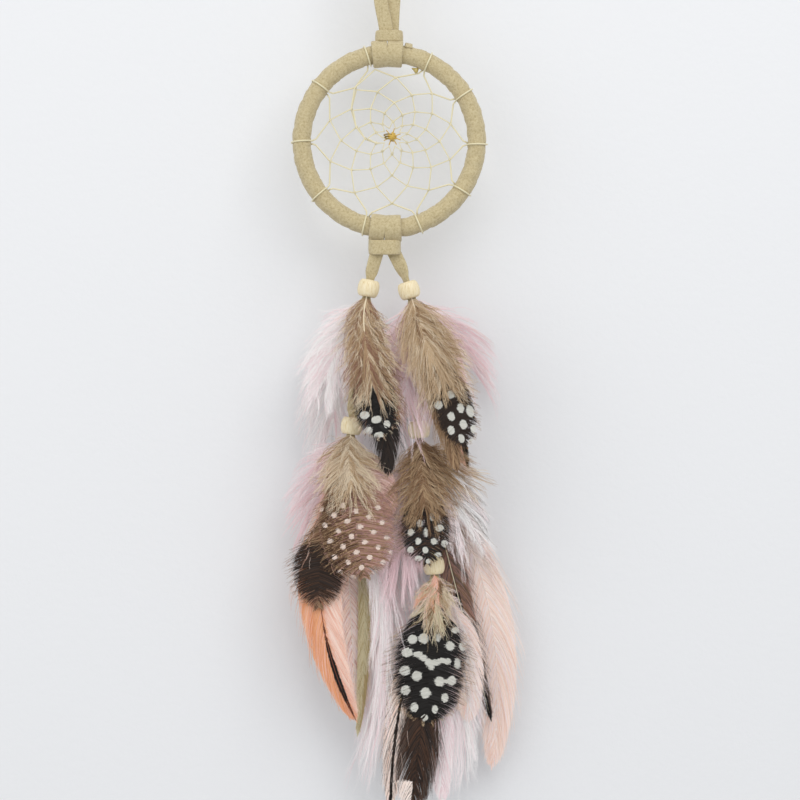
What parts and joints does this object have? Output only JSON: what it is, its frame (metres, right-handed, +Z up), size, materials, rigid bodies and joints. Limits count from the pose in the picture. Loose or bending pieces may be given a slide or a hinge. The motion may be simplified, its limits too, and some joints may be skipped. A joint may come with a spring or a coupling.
{
  "type": "dream catcher",
  "caption": "Small hanging dream catcher: a suede-wrapped hoop with a woven web and two beaded lace tails of feather tufts that sway on their laces.",
  "frame": {"origin": "underside of the hanging loop's knot, where the nail bears", "axes": "+Z up along the hanging loop, -Y towards the viewer, +X to the viewer's right; the hoop stands in the XZ plane"},
  "size_m": [0.0821, 0.0322, 0.3402],
  "materials": {
    "suede": "matte napped suede lace",
    "rattan": "plain cane, hidden by the wrap",
    "glue": "dried craft glue, slightly glossy",
    "thread": "waxed ivory thread, satin",
    "gold_thread": "golden thread, satin",
    "bead_wood": "pale unvarnished wood",
    "guinea_feather": "dark vane with white spots over taupe down",
    "brown_down": "soft taupe and brown down",
    "pale_marabou": "fluffy pale pink down",
    "hackle_feather": "narrow glossy vane",
    "pale_saddle": "long pale peach vane"
  },
  "bodies": {
    "knot": {"loop_knot": "suede"},
    "loop": {"loop_lace_left": "suede", "loop_lace_right": "suede"},
    "hitch": {"hoop_hitch": "suede"},
    "hoop": {"hoop_core": "rattan", "hoop_wrap": "suede", "wrap_end": "suede", "glue_dab": "glue", "web_thread": "thread", "web_knot": "gold_thread"},
    "tail_knot": {"tail_hitch": "suede"},
    "left_tail_upper": {"left_lace_upper": "suede"},
    "left_tail_lower": {"left_lace_lower": "suede"},
    "right_tail_upper": {"right_lace_upper": "suede"},
    "right_tail_middle": {"right_lace_middle": "suede"},
    "right_tail_lower": {"right_lace_lower": "suede"},
    "left_top_bead": {"left_top_bead": "bead_wood"},
    "left_top_brown_down": {"left_top_brown_down": "brown_down"},
    "left_top_guinea": {"left_top_guinea": "guinea_feather"},
    "left_top_marabou_long": {"left_top_marabou_long": "pale_marabou"},
    "left_top_marabou_short": {"left_top_marabou_short": "pale_marabou"},
    "right_top_bead": {"right_top_bead": "bead_wood"},
    "right_top_brown_blade": {"right_top_brown_blade": "hackle_feather"},
    "right_top_guinea": {"right_top_guinea": "guinea_feather"},
    "right_top_khaki_down": {"right_top_khaki_down": "brown_down"},
    "right_top_rooster_blade": {"right_top_rooster_blade": "hackle_feather"},
    "right_top_mauve_marabou": {"right_top_mauve_marabou": "pale_marabou"},
    "right_top_pink_marabou": {"right_top_pink_marabou": "pale_marabou"},
    "left_low_bead": {"left_low_bead": "bead_wood"},
    "left_low_orange_hackle": {"left_low_orange_hackle": "hackle_feather"},
    "left_low_dark_tipped": {"left_low_dark_tipped": "guinea_feather"},
    "left_low_pink_blade": {"left_low_pink_blade": "hackle_feather"},
    "left_low_guinea": {"left_low_guinea": "guinea_feather"},
    "left_low_olive_slip": {"left_low_olive_slip": "hackle_feather"},
    "left_low_pale_saddle": {"left_low_pale_saddle": "pale_saddle"},
    "left_low_pink_marabou": {"left_low_pink_marabou": "pale_marabou"},
    "left_low_white_marabou": {"left_low_white_marabou": "pale_marabou"},
    "right_mid_bead": {"right_mid_bead": "bead_wood"},
    "right_mid_pink_fluff": {"right_mid_pink_fluff": "pale_marabou"},
    "right_mid_brown_down": {"right_mid_brown_down": "brown_down"},
    "right_mid_guinea": {"right_mid_guinea": "guinea_feather"},
    "right_mid_curved_blade": {"right_mid_curved_blade": "hackle_feather"},
    "right_mid_dark_fuzz": {"right_mid_dark_fuzz": "brown_down"},
    "right_mid_mauve_marabou": {"right_mid_mauve_marabou": "pale_marabou"},
    "right_mid_peach_saddle": {"right_mid_peach_saddle": "pale_saddle"},
    "right_low_bead": {"right_low_bead": "bead_wood"},
    "right_low_striped_saddle": {"right_low_striped_saddle": "pale_saddle"},
    "right_low_dark_hackle": {"right_low_dark_hackle": "hackle_feather"},
    "right_low_guinea": {"right_low_guinea": "guinea_feather"},
    "right_low_orange_tuft": {"right_low_orange_tuft": "brown_down"},
    "right_low_pink_saddle": {"right_low_pink_saddle": "pale_saddle"},
    "right_low_peach_saddle": {"right_low_peach_saddle": "pale_saddle"},
    "right_low_white_marabou": {"right_low_white_marabou": "pale_marabou"}
  },
  "joints": [
    {"name": "loop_sway", "type": "hinge", "parent": "knot", "child": "loop", "pos_m": [0, 0, -0.0015], "axis": [0, 1, 0], "range_deg": [-12, 12]},
    {"name": "loop_twist", "type": "hinge", "parent": "loop", "child": "hitch", "pos_m": [0, 0, -0.0397], "axis": [0, 0, 1], "range_deg": [-90, 90]},
    {"name": "hoop_nod", "type": "hinge", "parent": "hitch", "child": "hoop", "pos_m": [0, 0, -0.04815], "axis": [1, 0, 0], "range_deg": [-25, 25]},
    {"name": "tail_swing", "type": "hinge", "parent": "hoop", "child": "tail_knot", "pos_m": [0, 0, -0.11185], "axis": [1, 0, 0], "range_deg": [-30, 30]},
    {"name": "left_tail_sway", "type": "hinge", "parent": "tail_knot", "child": "left_tail_upper", "pos_m": [-0.0039, -0.0008, -0.1195], "axis": [0, 1, 0], "range_deg": [-2, 20], "stiffness_Nm_per_rad": 0.006},
    {"name": "right_tail_sway", "type": "hinge", "parent": "tail_knot", "child": "right_tail_upper", "pos_m": [0.0008, 0.0008, -0.1195], "axis": [0, 1, 0], "range_deg": [-20, 2], "stiffness_Nm_per_rad": 0.006},
    {"name": "left_lower_sway", "type": "hinge", "parent": "left_tail_upper", "child": "left_tail_lower", "pos_m": [-0.00791, -0.0008, -0.13517], "axis": [0, 1, 0], "range_deg": [-2, 12], "stiffness_Nm_per_rad": 0.006},
    {"name": "right_middle_sway", "type": "hinge", "parent": "right_tail_upper", "child": "right_tail_middle", "pos_m": [0.00767, 0.0008, -0.13573], "axis": [0, 1, 0], "range_deg": [-12, 4], "stiffness_Nm_per_rad": 0.006},
    {"name": "right_lower_sway", "type": "hinge", "parent": "right_tail_middle", "child": "right_tail_lower", "pos_m": [0.01094, 0.0008, -0.18659], "axis": [0, 1, 0], "range_deg": [-8, 8], "stiffness_Nm_per_rad": 0.006},
    {"name": "left_top_bead_slide", "type": "slide", "parent": "left_tail_upper", "child": "left_top_bead", "axis": [-0.1908, 0, -0.9816], "range_m": [-0.002, 0.002]},
    {"name": "left_top_brown_down_sway", "type": "hinge", "parent": "left_top_bead", "child": "left_top_brown_down", "pos_m": [-0.00819, -0.0008, -0.13664], "axis": [0, 1, 0], "range_deg": [-6, 6], "stiffness_Nm_per_rad": 0.00015},
    {"name": "left_top_guinea_sway", "type": "hinge", "parent": "left_top_bead", "child": "left_top_guinea", "pos_m": [-0.00819, -0.0008, -0.13664], "axis": [0, 1, 0], "range_deg": [-6, 6], "stiffness_Nm_per_rad": 0.00014},
    {"name": "left_top_marabou_long_sway", "type": "hinge", "parent": "left_top_bead", "child": "left_top_marabou_long", "pos_m": [-0.00819, -0.0008, -0.13664], "axis": [0, 1, 0], "range_deg": [-6, 6], "stiffness_Nm_per_rad": 0.00038},
    {"name": "left_top_marabou_short_sway", "type": "hinge", "parent": "left_top_bead", "child": "left_top_marabou_short", "pos_m": [-0.00819, -0.0008, -0.13664], "axis": [0, 1, 0], "range_deg": [-6, 6], "stiffness_Nm_per_rad": 0.00016},
    {"name": "right_top_bead_slide", "type": "slide", "parent": "right_tail_upper", "child": "right_top_bead", "axis": [0.2924, 0, -0.9563], "range_m": [-0.002, 0.002]},
    {"name": "right_top_brown_blade_sway", "type": "hinge", "parent": "right_top_bead", "child": "right_top_brown_blade", "pos_m": [0.00811, 0.0008, -0.13717], "axis": [0, 1, 0], "range_deg": [-6, 6], "stiffness_Nm_per_rad": 0.000093},
    {"name": "right_top_guinea_sway", "type": "hinge", "parent": "right_top_bead", "child": "right_top_guinea", "pos_m": [0.00811, 0.0008, -0.13717], "axis": [0, 1, 0], "range_deg": [-6, 6], "stiffness_Nm_per_rad": 0.00016},
    {"name": "right_top_khaki_down_sway", "type": "hinge", "parent": "right_top_bead", "child": "right_top_khaki_down", "pos_m": [0.00811, 0.0008, -0.13717], "axis": [0, 1, 0], "range_deg": [-6, 6], "stiffness_Nm_per_rad": 0.00008},
    {"name": "right_top_rooster_blade_sway", "type": "hinge", "parent": "right_top_bead", "child": "right_top_rooster_blade", "pos_m": [0.00811, 0.0008, -0.13717], "axis": [0, 1, 0], "range_deg": [-6, 6], "stiffness_Nm_per_rad": 0.000081},
    {"name": "right_top_mauve_marabou_sway", "type": "hinge", "parent": "right_top_bead", "child": "right_top_mauve_marabou", "pos_m": [0.00811, 0.0008, -0.13717], "axis": [0, 1, 0], "range_deg": [-6, 6], "stiffness_Nm_per_rad": 0.00014},
    {"name": "right_top_pink_marabou_sway", "type": "hinge", "parent": "right_top_bead", "child": "right_top_pink_marabou", "pos_m": [0.00811, 0.0008, -0.13717], "axis": [0, 1, 0], "range_deg": [-6, 6], "stiffness_Nm_per_rad": 0.00012},
    {"name": "left_low_bead_slide", "type": "slide", "parent": "left_tail_lower", "child": "left_low_bead", "axis": [-0.1219, 0, -0.9925], "range_m": [-0.002, 0.002]},
    {"name": "left_low_orange_hackle_sway", "type": "hinge", "parent": "left_low_bead", "child": "left_low_orange_hackle", "pos_m": [-0.01398, -0.0008, -0.18668], "axis": [0, 1, 0], "range_deg": [-6, 6], "stiffness_Nm_per_rad": 0.00028},
    {"name": "left_low_dark_tipped_sway", "type": "hinge", "parent": "left_low_bead", "child": "left_low_dark_tipped", "pos_m": [-0.01398, -0.0008, -0.18668], "axis": [0, 1, 0], "range_deg": [-6, 6], "stiffness_Nm_per_rad": 0.00021},
    {"name": "left_low_pink_blade_sway", "type": "hinge", "parent": "left_low_bead", "child": "left_low_pink_blade", "pos_m": [-0.01398, -0.0008, -0.18668], "axis": [0, 1, 0], "range_deg": [-6, 6], "stiffness_Nm_per_rad": 0.000027},
    {"name": "left_low_guinea_sway", "type": "hinge", "parent": "left_low_bead", "child": "left_low_guinea", "pos_m": [-0.01398, -0.0008, -0.18668], "axis": [0, 1, 0], "range_deg": [-6, 6], "stiffness_Nm_per_rad": 0.00021},
    {"name": "left_low_olive_slip_sway", "type": "hinge", "parent": "left_low_bead", "child": "left_low_olive_slip", "pos_m": [-0.01398, -0.0008, -0.18668], "axis": [0, 1, 0], "range_deg": [-6, 6], "stiffness_Nm_per_rad": 0.00023},
    {"name": "left_low_pale_saddle_sway", "type": "hinge", "parent": "left_low_bead", "child": "left_low_pale_saddle", "pos_m": [-0.01398, -0.0008, -0.18668], "axis": [0, 1, 0], "range_deg": [-6, 6], "stiffness_Nm_per_rad": 0.00041},
    {"name": "left_low_pink_marabou_sway", "type": "hinge", "parent": "left_low_bead", "child": "left_low_pink_marabou", "pos_m": [-0.01398, -0.0008, -0.18668], "axis": [0, 1, 0], "range_deg": [-6, 6], "stiffness_Nm_per_rad": 0.00012},
    {"name": "left_low_white_marabou_sway", "type": "hinge", "parent": "left_low_bead", "child": "left_low_white_marabou", "pos_m": [-0.01398, -0.0008, -0.18668], "axis": [0, 1, 0], "range_deg": [-6, 6], "stiffness_Nm_per_rad": 0.00075},
    {"name": "right_mid_bead_slide", "type": "slide", "parent": "right_tail_middle", "child": "right_mid_bead", "axis": [0.0872, 0, -0.9962], "range_m": [-0.002, 0.002]},
    {"name": "right_mid_pink_fluff_sway", "type": "hinge", "parent": "right_mid_bead", "child": "right_mid_pink_fluff", "pos_m": [0.01107, 0.0008, -0.18809], "axis": [0, 1, 0], "range_deg": [-6, 6], "stiffness_Nm_per_rad": 0.00015},
    {"name": "right_mid_brown_down_sway", "type": "hinge", "parent": "right_mid_bead", "child": "right_mid_brown_down", "pos_m": [0.01107, 0.0008, -0.18809], "axis": [0, 1, 0], "range_deg": [-6, 6], "stiffness_Nm_per_rad": 0.000029},
    {"name": "right_mid_guinea_sway", "type": "hinge", "parent": "right_mid_bead", "child": "right_mid_guinea", "pos_m": [0.01107, 0.0008, -0.18809], "axis": [0, 1, 0], "range_deg": [-6, 6], "stiffness_Nm_per_rad": 0.00011},
    {"name": "right_mid_curved_blade_sway", "type": "hinge", "parent": "right_mid_bead", "child": "right_mid_curved_blade", "pos_m": [0.01107, 0.0008, -0.18809], "axis": [0, 1, 0], "range_deg": [-6, 6], "stiffness_Nm_per_rad": 0.00021},
    {"name": "right_mid_dark_fuzz_sway", "type": "hinge", "parent": "right_mid_bead", "child": "right_mid_dark_fuzz", "pos_m": [0.01107, 0.0008, -0.18809], "axis": [0, 1, 0], "range_deg": [-6, 6], "stiffness_Nm_per_rad": 0.00011},
    {"name": "right_mid_mauve_marabou_sway", "type": "hinge", "parent": "right_mid_bead", "child": "right_mid_mauve_marabou", "pos_m": [0.01107, 0.0008, -0.18809], "axis": [0, 1, 0], "range_deg": [-6, 6], "stiffness_Nm_per_rad": 0.00019},
    {"name": "right_mid_peach_saddle_sway", "type": "hinge", "parent": "right_mid_bead", "child": "right_mid_peach_saddle", "pos_m": [0.01107, 0.0008, -0.18809], "axis": [0, 1, 0], "range_deg": [-6, 6], "stiffness_Nm_per_rad": 0.00058},
    {"name": "right_low_bead_slide", "type": "slide", "parent": "right_tail_lower", "child": "right_low_bead", "axis": [0.0698, 0, -0.9976], "range_m": [-0.002, 0.002]},
    {"name": "right_low_striped_saddle_sway", "type": "hinge", "parent": "right_low_bead", "child": "right_low_striped_saddle", "pos_m": [0.01642, 0.0008, -0.23759], "axis": [0, 1, 0], "range_deg": [-6, 6], "stiffness_Nm_per_rad": 0.00018},
    {"name": "right_low_dark_hackle_sway", "type": "hinge", "parent": "right_low_bead", "child": "right_low_dark_hackle", "pos_m": [0.01642, 0.0008, -0.23759], "axis": [0, 1, 0], "range_deg": [-6, 6], "stiffness_Nm_per_rad": 0.00025},
    {"name": "right_low_guinea_sway", "type": "hinge", "parent": "right_low_bead", "child": "right_low_guinea", "pos_m": [0.01642, 0.0008, -0.23759], "axis": [0, 1, 0], "range_deg": [-6, 6], "stiffness_Nm_per_rad": 0.00022},
    {"name": "right_low_orange_tuft_sway", "type": "hinge", "parent": "right_low_bead", "child": "right_low_orange_tuft", "pos_m": [0.01642, 0.0008, -0.23759], "axis": [0, 1, 0], "range_deg": [-6, 6], "stiffness_Nm_per_rad": 0.0000043},
    {"name": "right_low_pink_saddle_sway", "type": "hinge", "parent": "right_low_bead", "child": "right_low_pink_saddle", "pos_m": [0.01642, 0.0008, -0.23759], "axis": [0, 1, 0], "range_deg": [-6, 6], "stiffness_Nm_per_rad": 0.00023},
    {"name": "right_low_peach_saddle_sway", "type": "hinge", "parent": "right_low_bead", "child": "right_low_peach_saddle", "pos_m": [0.01642, 0.0008, -0.23759], "axis": [0, 1, 0], "range_deg": [-6, 6], "stiffness_Nm_per_rad": 0.00012},
    {"name": "right_low_white_marabou_sway", "type": "hinge", "parent": "right_low_bead", "child": "right_low_white_marabou", "pos_m": [0.01642, 0.0008, -0.23759], "axis": [0, 1, 0], "range_deg": [-6, 6], "stiffness_Nm_per_rad": 0.00026}
  ]
}
